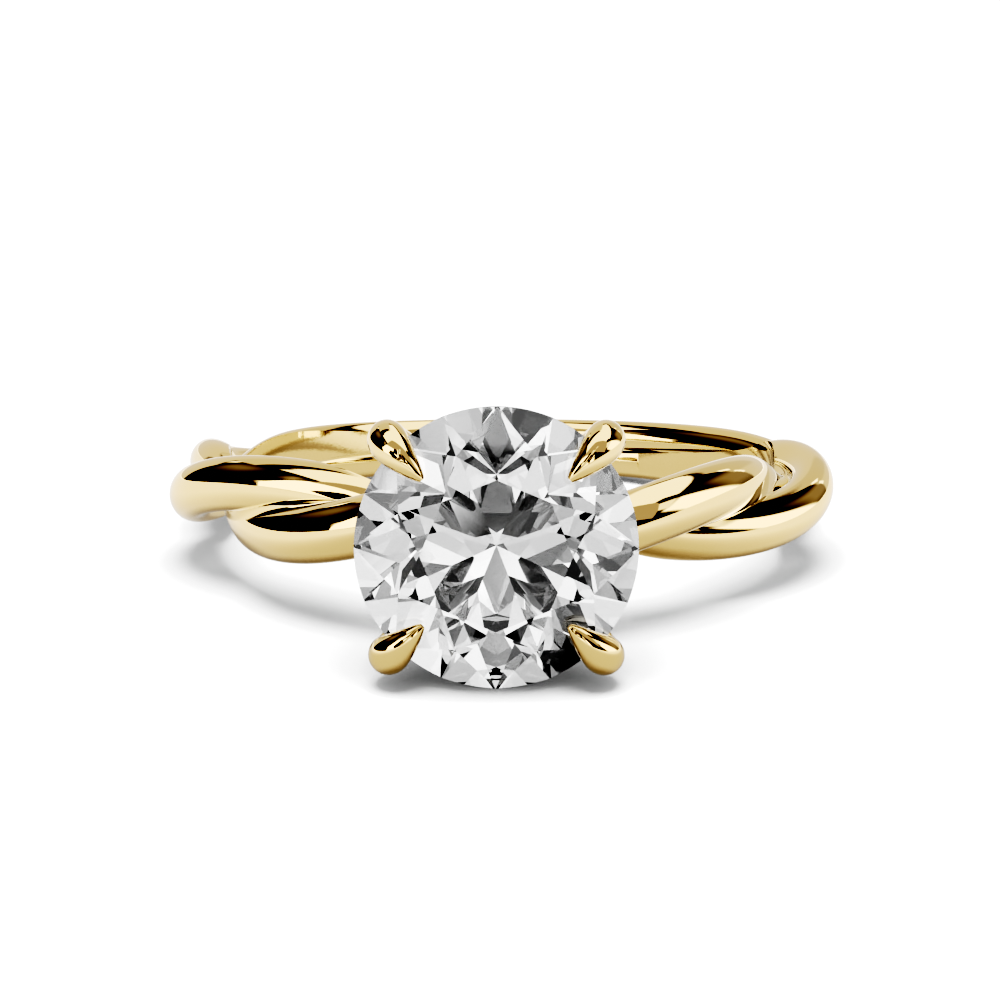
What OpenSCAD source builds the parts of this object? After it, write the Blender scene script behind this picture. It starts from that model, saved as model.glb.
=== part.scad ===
// Twisted shank solitaire ring, in millimetres.
// Two strands of gold wind round the finger bore, and four claws hold a round brilliant.
// Ring frame: the origin is the middle of the bore, Z runs along the finger and the stone is at -Y.
// At the end the ring is laid on its side, as it rests by itself: on the stone's girdle in front
// and on the shank behind, with the origin below the middle of the ring.

/* [Finger bore] */
// Inside diameter of the ring
bore_d = 17.3; // [15:0.1:20]

/* [Shank] */
// From the bore's wall to the line that the strands wind round
core_out = 0.53; // [0.5:0.01:0.8]
// Width of a strand at the head, measured outwards from the finger
strand_w_front = 1.65; // [1.4:0.05:2]
// Width of a strand at the back of the finger
strand_w_back = 1; // [0.9:0.05:1.4]
// Height of a strand at the head, measured along the finger
strand_h_front = 1.85; // [1.7:0.05:2.2]
// Height of a strand at the back of the finger
strand_h_back = 1.13; // [1:0.01:1.6]
// How far a strand swings in and out at the head
swing_out_front = 0.95; // [0.7:0.05:1.1]
// How far a strand swings in and out at the back
swing_out_back = 0.42; // [0.3:0.01:0.6]
// How far a strand swings up and down at the head
swing_up_front = 0.76; // [0.6:0.02:0.9]
// How far a strand swings up and down at the back
swing_up_back = 0.34; // [0.24:0.02:0.5]
// Full turns that a strand makes in one round of the finger
twist_turns = 3; // [2:1:4]

/* [Head] */
// Clear gap from the stone's point back to the strands below it
culet_gap = 0.77; // [0.3:0.01:1.2]
// Thickness of a claw's stem
stem_d = 0.95; // [0.8:0.05:1.1]
// Width of a claw's round shoulder
shoulder_d = 1.15; // [1:0.05:1.3]
// From the stone's edge out to the middle of a shoulder
shoulder_out = 0.35; // [0.25:0.05:0.5]
// From the stone's edge in to the tip of a claw
tip_reach = 1.1; // [0.8:0.05:1.4]
// Thickness of a claw's tip
tip_d = 0.16; // [0.12:0.02:0.3]
// From the middle of the girdle back to where a stem turns into a hook
hook_drop = 0.6; // [0.4:0.05:0.8]
// How far a stem's end lies inside the middle of a shoulder
stem_in = 0.05; // [0:0.05:0.2]
// How far the point that pulls a hook round its bend lies outside a shoulder
bend_out = 0.2; // [0.1:0.05:0.4]
// How far that point lies in front of the middle of the girdle
bend_rise = 0.75; // [0.6:0.05:1]
// From the head's axis to the foot of a claw in the shank
foot_r = 1.1; // [0.9:0.05:1.3]
// Thickness of the gallery rail's round wire
rail_d = 0.75; // [0.6:0.05:0.9]
// From the middle of the girdle back to the gallery rail
rail_drop = 1.8; // [1.6:0.1:2.2]
// How far the rail's wire lies inside the middle of the stems
rail_in = 0.2; // [0:0.05:0.3]

/* [Stone] */
// Diameter of the round brilliant
stone_d = 8; // [6.5:0.1:9]
// Thickness of its girdle
girdle_t = 0.16; // [0.14:0.01:0.3]
// Width of its table as a share of its diameter
table_share = 0.533; // [0.5:0.001:0.62]
// Slope of the main crown facets, in degrees
crown_slope = 37.3; // [33:0.1:39]
// Slope of the main pavilion facets, in degrees
pavilion_slope = 39.1; // [38.5:0.05:42]
// Length of the star facets as a share of the way from the table to the girdle
star_share = 0.482; // [0.4:0.001:0.6]
// Length of the lower halves as a share of the way from the girdle to the point
lower_share = 0.66; // [0.6:0.001:0.85]
// Clear gap between the stone and its seat in the claws
seat_gap = 0.04; // [0.03:0.01:0.06]
// How far the stone leans back at its lower edge, in degrees
stone_nod = 0.56; // [-1:0.02:1]
// How far the stone looks to its right, in degrees
stone_look = 0.52; // [-1:0.02:1]
// How far the stone is turned on its own axis, in degrees
stone_spin = -0.33; // [-1:0.01:1]

/* [Hidden] */
yellow_gold = [0.86, 0.7, 0.36];
clear_white = [0.93, 0.95, 0.97];

// Steps and sides of the swept strands and claws
strand_steps = 120;
strand_sides = 16;
stem_steps = 4;
hook_steps = 14;
claw_sides = 16;
claw_count = 4;
rail_steps = 96;
rail_sides = 32;
bore_sides = 180;
girdle_sides = 96;

// Step along the twist that gives the way a strand runs, in degrees
way_step = 0.5;

// Share of a hook's way where it is widest, and how full it stays towards its tip
shoulder_at = 0.3;
tip_fullness = 0.8;

// Tools that cut right through are this many times as long as what they cut
cut_through = 4;

// A full round brilliant has eight of each main facet
main_facets = 8;
facet_turn = 360 / main_facets;

// How far the twist runs ahead of an even one, in degrees, for one, two, three and four waves
// in a round of the finger: it crowds at the head and straightens at the back
twist_lead = [88, -40, 11, 11];

bore_r = bore_d / 2;
core_r = bore_r + core_out;
shank_top = strand_h_front / 2 + swing_up_front;

// Stone, along its own axis from the middle of the girdle
stone_r = stone_d / 2;
girdle_top = girdle_t / 2;
table_r = stone_r * table_share;
table_z = girdle_top + (stone_r - table_r) * tan(crown_slope);
table_flat_r = table_r * cos(facet_turn / 2);
star_r = table_flat_r + star_share * (stone_r - table_flat_r);
star_z = table_z - (star_r * cos(facet_turn / 2) - table_r) * tan(crown_slope);
point_z = -girdle_top - stone_r * tan(pavilion_slope);
lower_r = stone_r * (1 - lower_share);
lower_z = point_z + lower_r * cos(facet_turn / 2) * tan(pavilion_slope);

// Head, along the stone's axis from the middle of the girdle
head_h = core_r + strand_w_front / 2 + culet_gap - point_z;
foot_z = core_r - head_h;
hook_start = [stone_r + shoulder_out - stem_in, -hook_drop];
hook_bend = [stone_r + shoulder_out + bend_out, bend_rise];
tip_r = stone_r - tip_reach;
hook_end = [tip_r, girdle_top + tip_reach * tan(crown_slope) + tip_d / 2];
rail_r = foot_r + (hook_start[0] - foot_r) * (-rail_drop - foot_z) / (hook_start[1] - foot_z) - rail_in;

// Lean of the ring as it rests on the stone's lower edge and the back of the shank
rest_span = [core_r + head_h - girdle_top, stone_r - swing_up_back];
rest_lean = atan2(rest_span[1], rest_span[0]) - asin(strand_h_back / 2 / norm(rest_span));
rest_h = stone_r * cos(rest_lean) - (head_h - girdle_top) * sin(rest_lean);

// Furthest points of the lying ring to the front and to the back
front_reach = (head_h + table_z) * cos(rest_lean) + table_r * sin(rest_lean);
back_reach = (core_r + strand_w_back / 2) * cos(rest_lean) + swing_up_back * sin(rest_lean);

// A value that goes smoothly from its size at the head to its size at the back
function along(a, front, back) = back + (front - back) * (1 + cos(a)) / 2;

function sum(v, i = 0) = i < len(v) ? v[i] + sum(v, i + 1) : 0;

function unit(v) = v / norm(v);

// Turn of the twist at the angle a from the head; side 1 starts above and side -1 below
function twist_at(a, side) =
    90 * side + twist_turns * a + sum([for (i = [0:len(twist_lead) - 1]) twist_lead[i] * sin((i + 1) * a)]);

// Middle of a strand at the angle a from the head
function strand_middle(a, side) =
    let (
        turn = twist_at(a, side),
        r = core_r + along(a, swing_out_front, swing_out_back) * cos(turn)
    )
    [r * sin(a), -r * cos(a), along(a, swing_up_front, swing_up_back) * sin(turn)];

// Points of an oval of half sizes w and h round a middle, square to the way it is swept
function oval(middle, way, outwards, w, h, sides) =
    let (
        wide = unit(outwards - way * (outwards * way)),
        high = cross(wide, way)
    )
    [for (j = [0:sides - 1])
        middle + w * cos(360 * j / sides) * wide + h * sin(360 * j / sides) * high];

function strand_section(a, side) =
    oval(
        strand_middle(a, side),
        unit(strand_middle(a + way_step, side) - strand_middle(a - way_step, side)),
        [sin(a), -cos(a), 0],
        along(a, strand_w_front, strand_w_back) / 2,
        along(a, strand_h_front, strand_h_back) / 2,
        strand_sides
    );

// Middle line of a claw's hook, from 0 at its stem to 1 at its tip, as a smooth bend
function hook_middle(t) =
    (1 - t) * (1 - t) * hook_start + 2 * t * (1 - t) * hook_bend + t * t * hook_end;

// Radius of a hook: it swells from the stem to the shoulder and narrows to a point
function hook_radius(t) =
    t < shoulder_at
        ? stem_d / 2 + (shoulder_d - stem_d) / 2 * sin(90 * t / shoulder_at)
        : tip_d / 2 + (shoulder_d - tip_d) / 2 * sin(90 * pow((1 - t) / (1 - shoulder_at), tip_fullness));

// Middle line and radius of a whole claw, from its foot to its tip
function claw_line() =
    [
        for (i = [0:stem_steps - 1])
            let (t = i / stem_steps)
            [foot_r + (hook_start[0] - foot_r) * t, foot_z + (hook_start[1] - foot_z) * t, stem_d / 2],
        for (i = [0:hook_steps])
            let (t = i / hook_steps, p = hook_middle(t))
            [p[0], p[1], hook_radius(t)]
    ];

// Triangles between neighbouring sections of a sweep
function skin(steps, sides, closed) =
    [for (i = [0:steps - (closed ? 1 : 2)], j = [0:sides - 1])
        let (
            here = i * sides,
            next = (i + 1) % steps * sides,
            k = (j + 1) % sides
        )
        each [[here + j, here + k, next + k], [here + j, next + k, next + j]]];

// Flat ends of an open sweep
function ends(steps, sides) =
    [for (j = [1:sides - 2], last = [(steps - 1) * sides])
        each [[0, j + 1, j], [last, last + j, last + j + 1]]];

// Closed loop or open bar through a list of sections
module sweep(sections, closed) {
    steps = len(sections);
    sides = len(sections[0]);
    points = [for (section = sections) each section];
    polyhedron(points, concat(skin(steps, sides, closed), closed ? [] : ends(steps, sides)));
}

// One strand of the shank
module strand(side) {
    sweep([for (i = [0:strand_steps - 1]) strand_section(360 * i / strand_steps, side)], true);
}

// Head frame: Z runs out of the front of the stone, from the middle of its girdle
module on_head() {
    translate([0, -head_h, 0]) rotate([90, 0, 0]) children();
}

// One claw with its stem, in the head's XZ plane
module claw() {
    line = claw_line();
    last = len(line) - 1;
    sweep(
        [for (i = [0:last])
            let (
                from = line[max(i - 1, 0)],
                to = line[min(i + 1, last)],
                way = unit([to[0] - from[0], 0, to[1] - from[1]])
            )
            oval([line[i][0], 0, line[i][1]], way, [0, 1, 0], line[i][2], line[i][2], claw_sides)],
        false
    );
}

// Claws at the corners of a square, and the rail that ties their stems together
module head() {
    for (i = [0:claw_count - 1]) rotate([0, 0, 360 / claw_count * (i + 0.5)]) claw();
    translate([0, 0, -rail_drop])
        rotate_extrude($fn = rail_steps) translate([rail_r, 0]) circle(d = rail_d, $fn = rail_sides);
}

// Everything behind a plane through three points, moved out by the gap
module behind_plane(p, q, r, gap) {
    across = unit(cross(q - p, r - p));
    out = across * p < 0 ? -across : across;
    size = cut_through * stone_d;
    rotate([0, acos(out[2]), atan2(out[1], out[0])])
        translate([-size / 2, -size / 2, out * p + gap - size])
            cube(size);
}

function at(angle, r, z) = [r * cos(angle), r * sin(angle), z];

// Facets of one eighth of the brilliant: kite, star and two upper halves on the crown,
// main and two lower halves on the pavilion
function facets() =
    let (
        half = facet_turn / 2,
        edge = stone_r
    )
    [
        [at(0, table_r, table_z), at(half, star_r, star_z), at(-half, star_r, star_z)],
        [at(0, table_r, table_z), at(facet_turn, table_r, table_z), at(half, star_r, star_z)],
        [at(0, edge, girdle_top), at(half, edge, girdle_top), at(half, star_r, star_z)],
        [at(0, edge, girdle_top), at(-half, edge, girdle_top), at(-half, star_r, star_z)],
        [at(0, 0, point_z), at(half, lower_r, lower_z), at(-half, lower_r, lower_z)],
        [at(0, edge, -girdle_top), at(half, edge, -girdle_top), at(half, lower_r, lower_z)],
        [at(0, edge, -girdle_top), at(-half, edge, -girdle_top), at(-half, lower_r, lower_z)]
    ];

// Round brilliant, grown by the gap on every face
module brilliant(gap) {
    intersection_for (i = [0:main_facets - 1])
        rotate([0, 0, facet_turn * i])
            intersection_for (facet = facets())
                behind_plane(facet[0], facet[1], facet[2], gap);
}

// The stone sits a little askew in its claws
module as_set() {
    rotate([stone_nod, stone_look, stone_spin]) children();
}

// Lays the ring on its side with the origin below its middle
module at_rest() {
    translate([0, (front_reach - back_reach) / 2, rest_h]) rotate([-rest_lean, 0, 0]) children();
}

// Shank, claws and rail as one soldered piece, bored for the finger and cut for the stone
module gold_mounting() {
    color(yellow_gold) at_rest() difference() {
        union() {
            strand(1);
            strand(-1);
            on_head() head();
        }
        cylinder(r = bore_r, h = cut_through * shank_top, center = true, $fn = bore_sides);
        on_head() as_set() brilliant(seat_gap);
    }
}

module round_stone() {
    color(clear_white) at_rest() on_head() as_set() intersection() {
        brilliant(0);
        translate([0, 0, point_z]) cylinder(r = stone_r, h = table_z - point_z, $fn = girdle_sides);
    }
}

gold_mounting();
round_stone();
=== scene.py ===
"""Twisted shank ring of polished yellow gold with a round brilliant, resting on a pale table.

Sizes are in millimetres in the ring's own frame, as the goldsmith would draw them: the middle of
the finger bore is the origin, Z runs along the finger and the stone looks out along -Y. The matrix
REST lays the ring down on its side, and every mesh is made there, in metres.
"""
import math
from collections import namedtuple

import bmesh
import bpy
from mathutils import Euler, Matrix, Vector


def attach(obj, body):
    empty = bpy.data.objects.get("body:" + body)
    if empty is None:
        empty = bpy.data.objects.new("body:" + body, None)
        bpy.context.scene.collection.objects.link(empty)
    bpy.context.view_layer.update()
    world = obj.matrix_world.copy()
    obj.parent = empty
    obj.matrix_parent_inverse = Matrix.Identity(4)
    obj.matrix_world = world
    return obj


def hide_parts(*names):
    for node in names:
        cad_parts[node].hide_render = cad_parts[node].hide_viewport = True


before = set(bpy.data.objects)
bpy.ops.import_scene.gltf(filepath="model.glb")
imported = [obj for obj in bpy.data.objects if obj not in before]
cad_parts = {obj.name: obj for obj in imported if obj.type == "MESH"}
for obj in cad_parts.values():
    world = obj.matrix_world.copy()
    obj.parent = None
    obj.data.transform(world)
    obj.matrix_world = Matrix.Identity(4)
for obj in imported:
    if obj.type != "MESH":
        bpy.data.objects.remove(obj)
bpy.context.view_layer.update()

MM = 0.001

# Finger bore and shank. A pair of sizes holds at the head and at the back of the finger.
BORE_R = 8.65
CORE_OUT = 0.53                 # from the bore to the circle that the strands wind round
CORE_R = BORE_R + CORE_OUT
STRAND_W = (1.65, 1.0)          # in and out
STRAND_H = (1.85, 1.13)         # along the finger
SWING_OUT = (0.95, 0.42)        # how far a strand swings off that circle, in and out
SWING_UP = (0.76, 0.34)         # and along the finger
TWIST_TURNS = 3
TWIST_LEAD = (88, -40, 11, 11)  # degrees ahead of an even twist, for one to four waves a round

# Stone, along its own axis from the middle of the girdle
STONE_R = 4.0
GIRDLE_TOP = 0.08               # half the girdle's height at a facet's corner
TABLE_SHARE = 0.533             # how far out the table's corners lie, of the stone's radius
TABLE_R = TABLE_SHARE * STONE_R
CROWN_SLOPE = math.radians(37.3)
PAVILION_SLOPE = math.radians(39.1)
STAR_SHARE = 0.482              # how far the stars reach from the table to the girdle
LOWER_SHARE = 0.66              # how far the lower halves reach from the girdle to the point
SEAT_GAP = 0.04                 # between the stone and its seat in the metal
STONE_TURN = (0.56, 0.52, -0.33)  # degrees that the stone sits askew, about X, Y and its own axis
MAIN_FACETS = 8
HALF_TURN = math.pi / MAIN_FACETS
TABLE_Z = GIRDLE_TOP + (STONE_R - TABLE_R) * math.tan(CROWN_SLOPE)
TABLE_FLAT_R = TABLE_R * math.cos(HALF_TURN)
STAR_R = TABLE_FLAT_R + STAR_SHARE * (STONE_R - TABLE_FLAT_R)
STAR_Z = TABLE_Z - (STAR_R * math.cos(HALF_TURN) - TABLE_R) * math.tan(CROWN_SLOPE)
POINT_Z = -GIRDLE_TOP - STONE_R * math.tan(PAVILION_SLOPE)
LOWER_R = STONE_R * (1 - LOWER_SHARE)
LOWER_Z = POINT_Z + LOWER_R * math.cos(HALF_TURN) * math.tan(PAVILION_SLOPE)

# Head: claws and gallery rail, along the stone's axis. A claw is a straight stem that ends in a hook.
CLAW_COUNT = 4
CULET_GAP = 0.77                # from the outside of the shank's circle to the stone's point
HEAD_H = CORE_R + STRAND_W[0] / 2 + CULET_GAP - POINT_Z
FOOT_R = 1.1                    # a stem's foot from the stone's axis
FOOT_Z = CORE_R - HEAD_H
STEM_D = 0.95
SHOULDER_D = 1.15
SHOULDER_OUT = 0.35             # a claw's middle line beyond the stone's edge
SHOULDER_AT = 0.3               # share of the hook's way where it is widest
STEM_IN = 0.05                  # where the hook starts, in from the shoulder's line
HOOK_DROP = 0.6                 # and down from the girdle
BEND_OUT = 0.2                  # where the hook is drawn to, out from the shoulder's line
BEND_RISE = 0.75                # and up from the girdle
TIP_REACH = 1.1                 # how far a tip reaches in over the crown
TIP_D = 0.16
TIP_FULLNESS = 0.8
HOOK_START = Vector((STONE_R + SHOULDER_OUT - STEM_IN, -HOOK_DROP))
HOOK_BEND = Vector((STONE_R + SHOULDER_OUT + BEND_OUT, BEND_RISE))
HOOK_END = Vector((STONE_R - TIP_REACH, GIRDLE_TOP + TIP_REACH * math.tan(CROWN_SLOPE) + TIP_D / 2))
RAIL_D = 0.75
RAIL_DROP = 1.8                 # below the girdle
RAIL_IN = 0.2                   # inside the stems' middle lines
RAIL_R = FOOT_R + (HOOK_START.x - FOOT_R) * (-RAIL_DROP - FOOT_Z) / (HOOK_START.y - FOOT_Z) - RAIL_IN

# The ring rests on the stone's lower edge and on the back of the shank
REST_SPAN = Vector((CORE_R + HEAD_H - GIRDLE_TOP, STONE_R - SWING_UP[1]))
REST_LEAN = math.atan2(REST_SPAN.y, REST_SPAN.x) - math.asin(STRAND_H[1] / 2 / REST_SPAN.length)
REST_H = STONE_R * math.cos(REST_LEAN) - (HEAD_H - GIRDLE_TOP) * math.sin(REST_LEAN)
FRONT_REACH = (HEAD_H + TABLE_Z) * math.cos(REST_LEAN) + TABLE_R * math.sin(REST_LEAN)
BACK_REACH = (CORE_R + STRAND_W[1] / 2) * math.cos(REST_LEAN) + SWING_UP[1] * math.sin(REST_LEAN)
REST = (
    Matrix.Scale(MM, 4)
    @ Matrix.Translation((0, (FRONT_REACH - BACK_REACH) / 2, REST_H))
    @ Matrix.Rotation(-REST_LEAN, 4, "X")
)
HEAD_PLACE = REST @ Matrix.Translation((0, -HEAD_H, 0)) @ Matrix.Rotation(math.pi / 2, 4, "X")
STONE_PLACE = HEAD_PLACE @ Euler([math.radians(d) for d in STONE_TURN]).to_matrix().to_4x4()

# Fineness of the meshes
STRAND_STEPS = 540
STRAND_SIDES = 56
WAY_STEP = math.radians(0.25)   # to each side of a section, to find the way that a strand runs
HOOK_STEPS = 48
STEM_STEPS = 16
CLAW_SIDES = 40
RAIL_STEPS = 160
RAIL_SIDES = 32
BORE_SIDES = 720
GIRDLE_STEPS = 8                # girdle faces between two neighbouring facet corners
WELD_GAP = 1e-5                 # corners of facets that lie closer than this are one
EDGE_ANGLE = math.radians(32)   # where the metal's faces meet at more than this, it has an edge

# Camera, in the ring's frame
IMAGE_SIZE = 1000
FOCAL_PX = 3740                 # focal length, in pixels of the photo
VIEW_TURN = math.radians(0.63)  # how far the eye stands to the right
VIEW_RISE = math.radians(7.65)  # and above the ring's own plane
VIEW_DISTANCE = 118.9           # from the middle of the bore
STONE_PX = Vector((496.3, 547.9))   # where the middle of the girdle shows
SENSOR_W = 36
VIEW_RANGE = (5 * MM, 5000 * MM)

# Finishes. A grain has its fineness, in waves to the metre, and its detail.
GOLD_BRIGHT = (1.0, 0.775, 0.49, 1)
GOLD_DEEP = (0.985, 0.75, 0.455, 1)
GOLD_PAINTED_PALE_IN_GOLD = (1.0, 0.96, 0.88, 1)         # painted reflection: the metal as it mirrors itself takes this paler colour, or hollows would turn orange
GOLD_PAINTED_GREY_IN_STONE = (0.16, 0.16, 0.16, 1)  # painted dark grey: the metal as the stone shows it, in place of its own colour
GOLD_ROUGHNESS = (0.025, 0.055)
GOLD_WAVES = (700, 2)
GOLD_HAIRLINES = (9000, 3)
HAIRLINE_DEPTH = 0.0004
STONE_IOR = 2.44
GIRDLE_ROUGHNESS = (0.22, 0.38)
GIRDLE_GRAIN = (12000, 2)
GIRDLE_SHARE = 0.9993           # of the stone's radius, beyond which it is girdle

# Studio: soft cards on the walls of a box round the ring, each wall 1 away. A card has its place on
# its wall, its roll in degrees, its half sizes, how soft its edge is and how bright it is.
WALLS = {                       # which way is right, upwards and outwards on each wall
    "top": ((1, 0, 0), (0, 1, 0), (0, 0, 1)),
    "back": ((1, 0, 0), (0, 0, 1), (0, 1, 0)),
    "right": ((0, -1, 0), (0, 0, 1), (1, 0, 0)),
    "left": ((0, 1, 0), (0, 0, 1), (-1, 0, 0)),
    "front": ((-1, 0, 0), (0, 0, 1), (0, -1, 0)),
}
Card = namedtuple("Card", "wall across up roll half_w half_h edge light")
CARDS = (
    Card("right", -0.75, 0.40, 0, 0.40, 0.40, 0.50, 0.24),
    Card("left", 0.45, 0.80, 0, 0.35, 0.25, 0.50, 0.20),
    Card("left", -0.45, 0.85, 0, 0.10, 0.20, 0.30, 0.30),
    Card("top", 0.02, -0.45, 0, 0.80, 0.56, 0.08, 0.85),
    Card("top", -0.18, 0.10, 25, 0.36, 0.24, 0.08, 0.85),
    Card("top", 0.33, 0.45, 33, 0.34, 0.80, 0.08, 0.85),
    Card("top", -0.45, 1.00, 0, 0.42, 0.48, 0.08, 0.45),
    Card("back", 0.00, 0.33, 0, 1.00, 0.36, 0.10, 0.48),
    Card("back", 0.55, 0.62, 35, 0.40, 0.30, 0.10, 0.42),
    Card("back", 0.79, 0.76, 0, 0.07, 0.10, 0.05, 1.00),
    Card("back", 0.94, 0.47, 0, 0.05, 0.12, 0.05, 1.00),
    Card("back", -0.82, 0.86, 30, 0.05, 0.15, 0.05, 0.95),
    Card("right", -0.05, 0.12, 45, 0.55, 0.28, 0.12, 1.05),
    Card("right", 0.62, 0.78, 35, 0.40, 0.22, 0.12, 0.75),
    Card("left", -0.68, 0.18, -30, 0.32, 0.28, 0.12, 0.90),
    Card("left", -1.10, 0.75, -78, 0.45, 0.05, 0.08, 0.80),
    Card("front", 1.18, -0.13, -23, 1.58, 1.60, 0.10, 1.10),
    Card("front", 0.23, -0.20, 74, 0.89, 0.49, 0.04, 0.08),
    Card("front", -0.42, 1.97, 21, 1.60, 1.26, 0.04, 0.32),
    Card("front", 0.27, 0.00, 49, 0.52, 0.35, 0.04, 1.00),
    Card("front", 0.13, 0.63, -64, 0.28, 0.39, 0.04, 0.00),
    Card("front", 0.46, -0.16, -71, 1.36, 0.06, 0.04, 0.74),
    Card("front", -0.16, 1.06, 27, 0.03, 0.43, 0.04, 1.10),
    Card("front", 0.81, 0.25, -45, 0.27, 0.30, 0.04, 0.00),
    Card("front", -0.14, 0.26, -24, 0.54, 0.03, 0.04, 0.00),
    Card("front", -0.11, 0.75, 11, 0.03, 0.46, 0.04, 0.41),
    Card("front", 0.36, 0.16, 48, 0.06, 0.70, 0.04, 0.14),
)
STUDIO_DARK = 0.03
BACKDROP = 1.2                  # the studio's white to the camera itself

# A place on a wall has a third number: 0 where the direction points to the wall, and BEHIND_WALL
# where it points away, which lies off every card
BEHIND_WALL = 2
CARD_DEPTH = 1                  # a card's half size in that number
DEPTH_EDGE = 0.5                # and half the width of its edge there
LEAST_DEPTH = 0.001             # of a direction towards a wall, so that nothing is divided by 0

# Light on the table alone: how wide it is, how far it leans to the front, and its strength
KEY_LIGHT = (math.radians(36), math.radians(12), 2.55)
FILL_LIGHT = (math.radians(170), 0, 1.30)

# The table under the ring, and a painted glow that the table gives off itself, which lifts its deepest
# shade
TABLE_HALF_W = 600
TABLE_ROUGHNESS = 0.6
TABLE_WHITE = 0.9
TABLE_PAINTED_GLOW = 0.12

# The table as the metal mirrors it, painted: its white, its painted glow in a painted shade round the
# ring and beyond, where the middle of that shade is, what distances from it are multiplied by, and where
# it starts to fade and ends
TABLE_IN_METAL = 0.27
GLOW_IN_METAL = (0.15, 0.40)
SHADE_MIDDLE = (0, -8 * MM, 0)
SHADE_SCALE = (1, 0.5, 1)
SHADE_EDGE = (6.5 * MM, 18 * MM)

# What is added to that painted glow far behind the ring and far before it, lighter behind and darker
# before: from where, to where, and how much at either end
FAR_BEHIND = (80 * MM, 250 * MM, 0, 0.3)
FAR_BEFORE = (-150 * MM, -40 * MM, -0.3, 0)

# The table's white as the stone shows it, painted lighter near the ring and darker far off, and how far
# that is
TABLE_IN_STONE = (0.62, 0.40)
FAR_OFF = (20 * MM, 70 * MM)

# The photo's own curve from light to picture, with the white table at 1
TONES = (
    (0, 0), (0.081, 0), (0.1075, 0.007), (0.128, 0.032), (0.166, 0.102),
    (0.213, 0.224), (0.284, 0.402), (0.342, 0.515), (0.409, 0.61), (0.503, 0.716),
    (0.619, 0.807), (0.772, 0.896), (0.896, 0.939), (1, 1),
)
ALL_COLOURS = 3                 # the curve that red, green and blue share

# How often light may turn in all, through the stone and off the metal
MOST_BOUNCES = 24
STONE_BOUNCES = 20
METAL_BOUNCES = 6


def along(angle, sizes):
    """A size that goes smoothly from the head to the back of the finger."""
    front, back = sizes
    return back + (front - back) * (1 + math.cos(angle)) / 2


def twist_at(angle, side):
    """Turn of the twist at an angle from the head; side 1 starts above, side -1 below."""
    lead = sum(math.radians(d) * math.sin((i + 1) * angle) for i, d in enumerate(TWIST_LEAD))
    return side * math.pi / 2 + TWIST_TURNS * angle + lead


def strand_middle(angle, side):
    """Where a strand's middle line runs at an angle from the head."""
    turn = twist_at(angle, side)
    r = CORE_R + along(angle, SWING_OUT) * math.cos(turn)
    return Vector((r * math.sin(angle), -r * math.cos(angle), along(angle, SWING_UP) * math.sin(turn)))


def oval(middle, way, outwards, half_w, half_h, sides):
    """Points of an oval round a middle, square to the way it is swept."""
    wide = (outwards - way * outwards.dot(way)).normalized()
    high = wide.cross(way)
    turns = [math.tau * j / sides for j in range(sides)]
    return [middle + wide * half_w * math.cos(t) + high * half_h * math.sin(t) for t in turns]


def strand_section(angle, side):
    """The oval that a strand has at an angle from the head."""
    way = (strand_middle(angle + WAY_STEP, side) - strand_middle(angle - WAY_STEP, side)).normalized()
    outwards = Vector((math.sin(angle), -math.cos(angle), 0))
    half_w = along(angle, STRAND_W) / 2
    half_h = along(angle, STRAND_H) / 2
    return oval(strand_middle(angle, side), way, outwards, half_w, half_h, STRAND_SIDES)


def hook_middle(t):
    """A hook's middle line bends from the stem over the shoulder to the tip."""
    return (1 - t) ** 2 * HOOK_START + 2 * t * (1 - t) * HOOK_BEND + t * t * HOOK_END


def hook_radius(t):
    """A hook swells from its stem to its shoulder and narrows to a point."""
    if t < SHOULDER_AT:
        return STEM_D / 2 + (SHOULDER_D - STEM_D) / 2 * math.sin(math.pi / 2 * t / SHOULDER_AT)
    left = ((1 - t) / (1 - SHOULDER_AT)) ** TIP_FULLNESS
    return TIP_D / 2 + (SHOULDER_D - TIP_D) / 2 * math.sin(math.pi / 2 * left)


def claw_sections():
    """Round sections of one claw, from its foot to its tip, in the head's XZ plane."""
    foot = Vector((FOOT_R, FOOT_Z))
    line = [(foot.lerp(HOOK_START, i / STEM_STEPS), STEM_D / 2) for i in range(STEM_STEPS)]
    shares = [i / HOOK_STEPS for i in range(HOOK_STEPS + 1)]
    line += [(hook_middle(t), hook_radius(t)) for t in shares]
    last = len(line) - 1
    sections = []
    for i, (p, r) in enumerate(line):
        step = (line[min(i + 1, last)][0] - line[max(i - 1, 0)][0]).normalized()
        middle = Vector((p.x, 0, p.y))
        way = Vector((step.x, 0, step.y))
        sections.append(oval(middle, way, Vector((0, 1, 0)), r, r, CLAW_SIDES))
    return sections


def new_object(name, bm, matrix):
    """A mesh object at the origin, with the matrix worked into its vertices."""
    bmesh.ops.transform(bm, matrix=matrix, verts=bm.verts)
    bmesh.ops.recalc_face_normals(bm, faces=bm.faces)
    mesh = bpy.data.meshes.new(name)
    bm.to_mesh(mesh)
    bm.free()
    obj = bpy.data.objects.new(name, mesh)
    bpy.context.scene.collection.objects.link(obj)
    return obj


def sweep(name, sections, closed, matrix):
    """Closed loop or open bar through a list of sections."""
    bm = bmesh.new()
    rings = [[bm.verts.new(p) for p in section] for section in sections]
    pairs = list(zip(rings, rings[1:]))
    if closed:
        pairs.append((rings[-1], rings[0]))
    for here, ahead in pairs:
        sides = len(here)
        for j in range(sides):
            k = (j + 1) % sides
            bm.faces.new((here[j], here[k], ahead[k], ahead[j]))
    if not closed:
        bm.faces.new(rings[0])
        bm.faces.new(rings[-1])
    return new_object(name, bm, matrix)


def strand(side):
    """One of the two strands, all the way round the finger."""
    angles = [math.tau * i / STRAND_STEPS for i in range(STRAND_STEPS)]
    return sweep("strand", [strand_section(a, side) for a in angles], True, REST)


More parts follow.
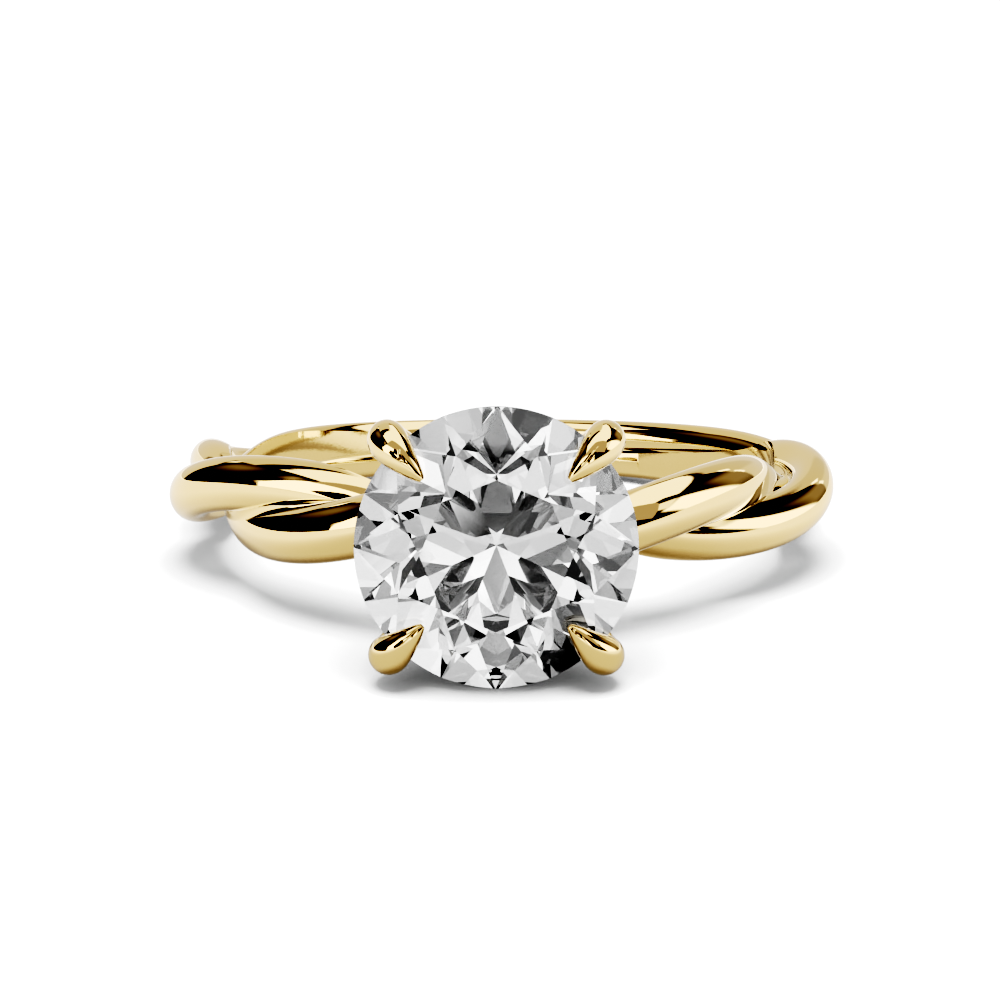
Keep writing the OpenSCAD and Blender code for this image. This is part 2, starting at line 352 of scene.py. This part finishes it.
def claw(i):
    """One claw, turned to its corner of the head."""
    turn = Matrix.Rotation(math.tau / CLAW_COUNT * (i + 0.5), 4, "Z")
    return sweep("claw", claw_sections(), False, HEAD_PLACE @ turn)


def gallery_rail():
    """The round wire that ties the stems together under the stone."""
    angles = [math.tau * i / RAIL_STEPS for i in range(RAIL_STEPS)]
    sections = []
    for a in angles:
        outwards = Vector((math.cos(a), math.sin(a), 0))
        middle = outwards * RAIL_R - Vector((0, 0, RAIL_DROP))
        way = Vector((-math.sin(a), math.cos(a), 0))
        sections.append(oval(middle, way, outwards, RAIL_D / 2, RAIL_D / 2, RAIL_SIDES))
    return sweep("rail", sections, True, HEAD_PLACE)


def bore_cutter():
    """A round bar as thick as the finger bore and twice as long as the shank is high."""
    bm = bmesh.new()
    shank_h = STRAND_H[0] + 2 * SWING_UP[0]
    bmesh.ops.create_cone(
        bm, cap_ends=True, segments=BORE_SIDES, radius1=BORE_R, radius2=BORE_R, depth=2 * shank_h
    )
    return new_object("bore", bm, REST)


def polar(angle, r, z):
    """A point round the stone's axis."""
    return Vector((r * math.cos(angle), r * math.sin(angle), z))


def plane_height(p, q, r, at):
    """Height of the plane through p, q and r over the point at."""
    across = (q - p).cross(r - p)
    return p.z - ((at.x - p.x) * across.x + (at.y - p.y) * across.y) / across.z


def girdle_arc(start, end, inner, edge_z):
    """Points of the girdle's edge between two facet corners, where a half facet meets the round."""
    p, q = polar(start, STONE_R, edge_z), polar(end, STONE_R, edge_z)
    points = []
    for i in range(1, GIRDLE_STEPS):
        at = polar(start + (end - start) * i / GIRDLE_STEPS, STONE_R, 0)
        at.z = plane_height(p, q, inner, at)
        points.append(at)
    return points


def brilliant_faces():
    """Facets of the round brilliant: table, stars, kites and halves above, mains and halves below."""
    corners = [polar(2 * HALF_TURN * i, TABLE_R, TABLE_Z) for i in range(MAIN_FACETS)]
    faces = [corners]
    for i in range(MAIN_FACETS):
        a = 2 * HALF_TURN * i
        table_here, table_next = polar(a, TABLE_R, TABLE_Z), polar(a + 2 * HALF_TURN, TABLE_R, TABLE_Z)
        star_back, star = polar(a - HALF_TURN, STAR_R, STAR_Z), polar(a + HALF_TURN, STAR_R, STAR_Z)
        low_back, low = polar(a - HALF_TURN, LOWER_R, LOWER_Z), polar(a + HALF_TURN, LOWER_R, LOWER_Z)
        top, bottom = polar(a, STONE_R, GIRDLE_TOP), polar(a, STONE_R, -GIRDLE_TOP)
        faces += [[table_here, star, top, star_back], [table_here, table_next, star]]
        faces.append([Vector((0, 0, POINT_Z)), low_back, bottom, low])
        for way in (1, -1):
            half = a + way * HALF_TURN
            star_end, low_end = (star, low) if way == 1 else (star_back, low_back)
            top_end, bottom_end = polar(half, STONE_R, GIRDLE_TOP), polar(half, STONE_R, -GIRDLE_TOP)
            upper = [top, *girdle_arc(a, half, star_end, GIRDLE_TOP), top_end]
            lower = [bottom, *girdle_arc(a, half, low_end, -GIRDLE_TOP), bottom_end]
            faces += [[*upper, star_end], [*lower, low_end]]
            for j in range(GIRDLE_STEPS):
                faces.append([upper[j], upper[j + 1], lower[j + 1], lower[j]])
    return faces


def brilliant(name, grow):
    """The cut stone, flat on every facet, grown about its girdle by a factor."""
    bm = bmesh.new()
    for face in brilliant_faces():
        bm.faces.new([bm.verts.new(p) for p in face])
    bmesh.ops.remove_doubles(bm, verts=bm.verts, dist=WELD_GAP)
    return new_object(name, bm, STONE_PLACE @ Matrix.Scale(grow, 4))


def merge(target, tool, operation):
    """Joins a tool to the target or cuts it away, and deletes the tool."""
    modifier = target.modifiers.new("merge", "BOOLEAN")
    modifier.object = tool
    modifier.operation = operation
    modifier.solver = "MANIFOLD"
    bpy.context.view_layer.update()
    evaluated = target.evaluated_get(bpy.context.evaluated_depsgraph_get())
    mesh = bpy.data.meshes.new_from_object(evaluated)
    target.modifiers.clear()
    target.data = mesh
    bpy.data.objects.remove(tool)


def gold_mounting():
    """Shank, claws and rail as one piece of metal, bored for the finger and cut for the stone."""
    metal = strand(1)
    metal.name = "mounting"
    merge(metal, strand(-1), "UNION")
    merge(metal, gallery_rail(), "UNION")
    for i in range(CLAW_COUNT):
        merge(metal, claw(i), "UNION")
    merge(metal, bore_cutter(), "DIFFERENCE")
    merge(metal, brilliant("seat", 1 + SEAT_GAP / STONE_R), "DIFFERENCE")
    metal.data.set_sharp_from_angle(angle=EDGE_ANGLE)
    for polygon in metal.data.polygons:
        polygon.use_smooth = True
    return metal


def in_use(sockets):
    """The sockets that a node shows for the kind of data that it is set to."""
    return [socket for socket in sockets if socket.enabled]


def connect(sockets, values):
    """Gives each socket in turn a link or a plain value."""
    for socket, value in zip(sockets, values):
        if isinstance(value, bpy.types.NodeSocket):
            socket.id_data.links.new(value, socket)
        else:
            socket.default_value = value


def value_node(nodes, operation, *values):
    """A math node that works on sockets and plain values."""
    node = nodes.new("ShaderNodeMath")
    node.operation = operation
    connect(node.inputs, values)
    return node.outputs["Value"]


def vector_node(nodes, operation, *values):
    """A vector math node, whose length or dot product is one value."""
    node = nodes.new("ShaderNodeVectorMath")
    node.operation = operation
    connect(node.inputs, values)
    return node.outputs["Value"] if operation in ("DOT_PRODUCT", "LENGTH") else node.outputs["Vector"]


def spread(nodes, value, start, end, low, high, soft=False):
    """Goes from low to high as a value goes from start to end, with soft ends if wanted."""
    node = nodes.new("ShaderNodeMapRange")
    node.interpolation_type = "SMOOTHSTEP" if soft else "LINEAR"
    connect(node.inputs, (value, start, end, low, high))
    return node.outputs["Result"]


def mix(nodes, kind, share, below, above):
    """A share of the way from one value or colour to another."""
    node = nodes.new("ShaderNodeMix")
    node.data_type = kind
    connect(in_use(node.inputs), (share, below, above))
    return in_use(node.outputs)[0]


def by_ray(nodes, kind, seen, in_metal, in_stone):
    """A value or colour as it is seen, as the metal mirrors it and as it shows through the stone."""
    path = nodes.new("ShaderNodeLightPath").outputs
    outside = mix(nodes, kind, path["Is Glossy Ray"], seen, in_metal)
    return mix(nodes, kind, path["Is Transmission Ray"], outside, in_stone)


def group_node(nodes, group, *values):
    """A node group placed with values of its own."""
    node = nodes.new("ShaderNodeGroup")
    node.node_tree = group
    connect(node.inputs, values)
    return node.outputs[0]


def fine_grain_group():
    """Soft uneven grain in the ring's own space, round a half."""
    group = bpy.data.node_groups.new("fine_grain", "ShaderNodeTree")
    group.interface.new_socket("Fineness", in_out="INPUT", socket_type="NodeSocketFloat")
    group.interface.new_socket("Detail", in_out="INPUT", socket_type="NodeSocketFloat")
    group.interface.new_socket("Grain", in_out="OUTPUT", socket_type="NodeSocketFloat")
    nodes = group.nodes
    given = nodes.new("NodeGroupInput").outputs
    noise = nodes.new("ShaderNodeTexNoise")
    group.links.new(nodes.new("ShaderNodeTexCoord").outputs["Object"], noise.inputs["Vector"])
    group.links.new(given["Fineness"], noise.inputs["Scale"])
    group.links.new(given["Detail"], noise.inputs["Detail"])
    group.links.new(noise.outputs["Fac"], nodes.new("NodeGroupOutput").inputs["Grain"])
    return group


def principled(name):
    """A new material and its shader."""
    material = bpy.data.materials.new(name)
    material.use_nodes = True
    return material, material.node_tree.nodes["Principled BSDF"]


def polished_gold(fine_grain):
    """Bright yellow gold with the faint waves and hairlines of the polishing wheel."""
    material, shader = principled("polished_gold")
    nodes, links = material.node_tree.nodes, material.node_tree.links
    shader.inputs["Metallic"].default_value = 1
    waves = group_node(nodes, fine_grain, *GOLD_WAVES)
    yellow = mix(nodes, "RGBA", waves, GOLD_DEEP, GOLD_BRIGHT)
    # painted reflections: paler where the metal mirrors itself, dark grey where the stone shows it
    colour = by_ray(nodes, "RGBA", yellow, GOLD_PAINTED_PALE_IN_GOLD, GOLD_PAINTED_GREY_IN_STONE)
    links.new(colour, shader.inputs["Base Color"])
    links.new(spread(nodes, waves, 0, 1, *GOLD_ROUGHNESS), shader.inputs["Roughness"])
    bump = nodes.new("ShaderNodeBump")
    bump.inputs["Distance"].default_value = HAIRLINE_DEPTH * MM
    links.new(group_node(nodes, fine_grain, *GOLD_HAIRLINES), bump.inputs["Height"])
    links.new(bump.outputs["Normal"], shader.inputs["Normal"])
    return material


def cut_stone(fine_grain):
    """Clear stone with mirror-bright facets and a girdle left as ground."""
    material, shader = principled("cut_stone")
    nodes, links = material.node_tree.nodes, material.node_tree.links
    shader.inputs["Base Color"].default_value = (1, 1, 1, 1)
    shader.inputs["IOR"].default_value = STONE_IOR
    shader.inputs["Transmission Weight"].default_value = 1
    axis = (STONE_PLACE.to_3x3() @ Vector((0, 0, 1))).normalized()
    at = nodes.new("ShaderNodeTexCoord").outputs["Object"]
    from_middle = vector_node(nodes, "SUBTRACT", at, STONE_PLACE.translation)
    off_axis = vector_node(nodes, "LENGTH", vector_node(nodes, "CROSS_PRODUCT", from_middle, axis))
    on_girdle = value_node(nodes, "GREATER_THAN", off_axis, GIRDLE_SHARE * STONE_R * MM)
    ground = spread(nodes, group_node(nodes, fine_grain, *GIRDLE_GRAIN), 0, 1, *GIRDLE_ROUGHNESS)
    links.new(value_node(nodes, "MULTIPLY", on_girdle, ground), shader.inputs["Roughness"])
    return material


def metal_sees_painted_glow(nodes, at):
    """The table's painted glow as the metal mirrors it: a painted shade, low round the ring, and painted
    changes far off.
    """
    off_middle = vector_node(nodes, "SUBTRACT", at, SHADE_MIDDLE)
    away = vector_node(nodes, "LENGTH", vector_node(nodes, "MULTIPLY", off_middle, SHADE_SCALE))
    glow = spread(nodes, away, *SHADE_EDGE, *GLOW_IN_METAL, soft=True)
    depth = vector_node(nodes, "DOT_PRODUCT", at, (0, 1, 0))
    for stretch in (FAR_BEHIND, FAR_BEFORE):
        glow = value_node(nodes, "ADD", glow, spread(nodes, depth, *stretch, soft=True))
    return glow


def pale_table():
    """White that takes the ring's shadow and a painted glow; the metal and the stone each show it in
    another painted tone.
    """
    material, shader = principled("pale_table")
    nodes, links = material.node_tree.nodes, material.node_tree.links
    at = nodes.new("ShaderNodeTexCoord").outputs["Object"]
    in_stone = spread(nodes, vector_node(nodes, "LENGTH", at), *FAR_OFF, *TABLE_IN_STONE, soft=True)
    # painted tones: the table is darker as the metal mirrors it, and fades far off as the stone shows it
    white = by_ray(nodes, "FLOAT", TABLE_WHITE, TABLE_IN_METAL, in_stone)
    # painted glow: the table gives off light of its own, and the metal sees a painted shade round the
    # ring
    glow = by_ray(nodes, "FLOAT", TABLE_PAINTED_GLOW, metal_sees_painted_glow(nodes, at), 0)
    links.new(white, shader.inputs["Base Color"])
    links.new(glow, shader.inputs["Emission Color"])
    shader.inputs["Emission Strength"].default_value = 1
    shader.inputs["Roughness"].default_value = TABLE_ROUGHNESS
    shader.inputs["Specular IOR Level"].default_value = 0
    material.cycles.emission_sampling = "NONE"
    return material


def table_top():
    """The flat table under the ring, which isn't part of it."""
    bm = bmesh.new()
    bmesh.ops.create_grid(bm, x_segments=1, y_segments=1, size=TABLE_HALF_W)
    table = new_object("table_top", bm, Matrix.Scale(MM, 4))
    table.data.materials.append(pale_table())


def camera():
    """Looks at the ring as the photo does: the middle of the girdle shows at STONE_PX."""
    data = bpy.data.cameras.new("camera")
    data.sensor_width = SENSOR_W
    data.lens = FOCAL_PX * SENSOR_W / IMAGE_SIZE
    data.clip_start, data.clip_end = VIEW_RANGE
    obj = bpy.data.objects.new("camera", data)
    bpy.context.scene.collection.objects.link(obj)
    eye = VIEW_DISTANCE * Vector((
        math.sin(VIEW_TURN) * math.cos(VIEW_RISE),
        -math.cos(VIEW_TURN) * math.cos(VIEW_RISE),
        math.sin(VIEW_RISE),
    ))
    girdle = Vector((0, -HEAD_H, 0))
    to_girdle = (girdle - eye).normalized()
    across_px = STONE_PX.x - IMAGE_SIZE / 2
    down_px = STONE_PX.y - IMAGE_SIZE / 2
    turn = math.atan2(to_girdle.x, to_girdle.y) - math.atan2(across_px, FOCAL_PX)
    rise = math.asin(to_girdle.z) + math.atan2(down_px, math.hypot(FOCAL_PX, across_px))
    ahead = Vector((math.sin(turn) * math.cos(rise), math.cos(turn) * math.cos(rise), math.sin(rise)))
    aim = ahead.to_track_quat("-Z", "Y").to_matrix().to_4x4()
    place = REST @ Matrix.Translation(eye) @ aim
    turned = place.to_3x3().normalized().to_4x4()
    obj.matrix_world = Matrix.Translation(place.translation) @ turned
    bpy.context.scene.camera = obj


def wall_group():
    """Where a direction meets a wall of the box: across, up, and BEHIND_WALL if it points away."""
    group = bpy.data.node_groups.new("studio_wall", "ShaderNodeTree")
    for name in ("Direction", "Right", "Upwards", "Outwards"):
        group.interface.new_socket(name, in_out="INPUT", socket_type="NodeSocketVector")
    group.interface.new_socket("Place", in_out="OUTPUT", socket_type="NodeSocketVector")
    nodes = group.nodes
    given = nodes.new("NodeGroupInput").outputs
    across = vector_node(nodes, "DOT_PRODUCT", given["Direction"], given["Right"])
    up = vector_node(nodes, "DOT_PRODUCT", given["Direction"], given["Upwards"])
    depth = vector_node(nodes, "DOT_PRODUCT", given["Direction"], given["Outwards"])
    ahead = value_node(nodes, "MAXIMUM", depth, LEAST_DEPTH)
    behind = value_node(nodes, "LESS_THAN", depth, 0)
    place = nodes.new("ShaderNodeCombineXYZ")
    connect(place.inputs, (
        value_node(nodes, "DIVIDE", across, ahead),
        value_node(nodes, "DIVIDE", up, ahead),
        value_node(nodes, "MULTIPLY", behind, BEHIND_WALL),
    ))
    group.links.new(place.outputs["Vector"], nodes.new("NodeGroupOutput").inputs["Place"])
    return group


def soft_card_group():
    """Share of a soft card at a place on its wall: 1 on the card, 0 beside it."""
    group = bpy.data.node_groups.new("soft_card", "ShaderNodeTree")
    for name in ("Place", "Middle", "Roll", "Half Size", "Outer Edge", "Inner Edge"):
        group.interface.new_socket(name, in_out="INPUT", socket_type="NodeSocketVector")
    group.interface.new_socket("Mask", in_out="OUTPUT", socket_type="NodeSocketFloat")
    nodes = group.nodes
    given = nodes.new("NodeGroupInput").outputs
    on_card = nodes.new("ShaderNodeMapping")
    on_card.vector_type = "TEXTURE"
    connect(on_card.inputs, (given["Place"], given["Middle"], given["Roll"], given["Half Size"]))
    from_middle = vector_node(nodes, "ABSOLUTE", on_card.outputs["Vector"])
    edge = nodes.new("ShaderNodeMapRange")
    edge.data_type = "FLOAT_VECTOR"
    edge.interpolation_type = "SMOOTHSTEP"
    connect(in_use(edge.inputs), (from_middle, given["Outer Edge"], given["Inner Edge"]))
    shares = nodes.new("ShaderNodeSeparateXYZ")
    group.links.new(edge.outputs["Vector"], shares.inputs["Vector"])
    both = value_node(nodes, "MULTIPLY", shares.outputs["X"], shares.outputs["Y"])
    mask = value_node(nodes, "MULTIPLY", both, shares.outputs["Z"])
    group.links.new(mask, nodes.new("NodeGroupOutput").inputs["Mask"])
    return group


def card_values(card):
    """The card's numbers as the node group takes them, with its edges as shares of its half sizes."""
    middle = (card.across, card.up, 0)
    roll = (0, 0, math.radians(card.roll))
    half = Vector((card.half_w, card.half_h, CARD_DEPTH))
    soft = Vector((card.edge / 2 / card.half_w, card.edge / 2 / card.half_h, DEPTH_EDGE / CARD_DEPTH))
    one = Vector((1, 1, 1))
    return middle, roll, half, one + soft, one - soft


def studio():
    """The light that the metal and the stone mirror: each card lies over those before it."""
    world = bpy.data.worlds.new("studio")
    world.use_nodes = True
    nodes = world.node_tree.nodes
    direction = nodes.new("ShaderNodeTexCoord").outputs["Generated"]
    wall, soft_card = wall_group(), soft_card_group()
    places = {name: group_node(nodes, wall, direction, *axes) for name, axes in WALLS.items()}
    light = STUDIO_DARK
    for card in CARDS:
        mask = group_node(nodes, soft_card, places[card.wall], *card_values(card))
        light = mix(nodes, "FLOAT", mask, light, card.light)
    to_camera = nodes.new("ShaderNodeLightPath").outputs["Is Camera Ray"]
    light = mix(nodes, "FLOAT", to_camera, light, BACKDROP)
    world.node_tree.links.new(light, nodes["Background"].inputs["Color"])
    world.cycles_visibility.diffuse = False
    world.cycles.sampling_method = "NONE"
    bpy.context.scene.world = world


def table_light(name, width, lean, strength):
    """A wide soft light from above for the table alone, which the metal doesn't mirror."""
    data = bpy.data.lights.new(name, "SUN")
    data.angle = width
    data.energy = strength
    lamp = bpy.data.objects.new(name, data)
    bpy.context.scene.collection.objects.link(lamp)
    lamp.rotation_euler = (lean, 0, 0)
    lamp.visible_glossy = False
    lamp.visible_transmission = False


def photo_tones():
    """Gives the picture the photo's own steps from dark to light."""
    settings = bpy.context.scene.view_settings
    settings.view_transform = "Standard"
    settings.use_curve_mapping = True
    mapping = settings.curve_mapping
    points = mapping.curves[ALL_COLOURS].points
    for light, shown in TONES[1:-1]:
        points.new(light, shown)
    for point in points:
        point.handle_type = "VECTOR"
    mapping.update()


def light_paths():
    """Lets light find its way out of the facets, without caustics, and denoises by colour alone."""
    cycles = bpy.context.scene.cycles
    cycles.max_bounces = MOST_BOUNCES
    cycles.transmission_bounces = STONE_BOUNCES
    cycles.glossy_bounces = METAL_BOUNCES
    cycles.caustics_reflective = False
    cycles.caustics_refractive = False
    cycles.denoising_input_passes = "RGB"


camera()
studio()
table_light("key_light", *KEY_LIGHT)
table_light("fill_light", *FILL_LIGHT)
photo_tones()
light_paths()
table_top()

fine_grain = fine_grain_group()

mounting = gold_mounting()
mounting.data.materials.clear()
mounting.data.materials.append(polished_gold(fine_grain))
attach(mounting, "root")
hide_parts("gold_mounting")

stone = brilliant("round_brilliant", 1)
stone.data.materials.append(cut_stone(fine_grain))
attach(stone, "root")
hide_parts("round_stone")
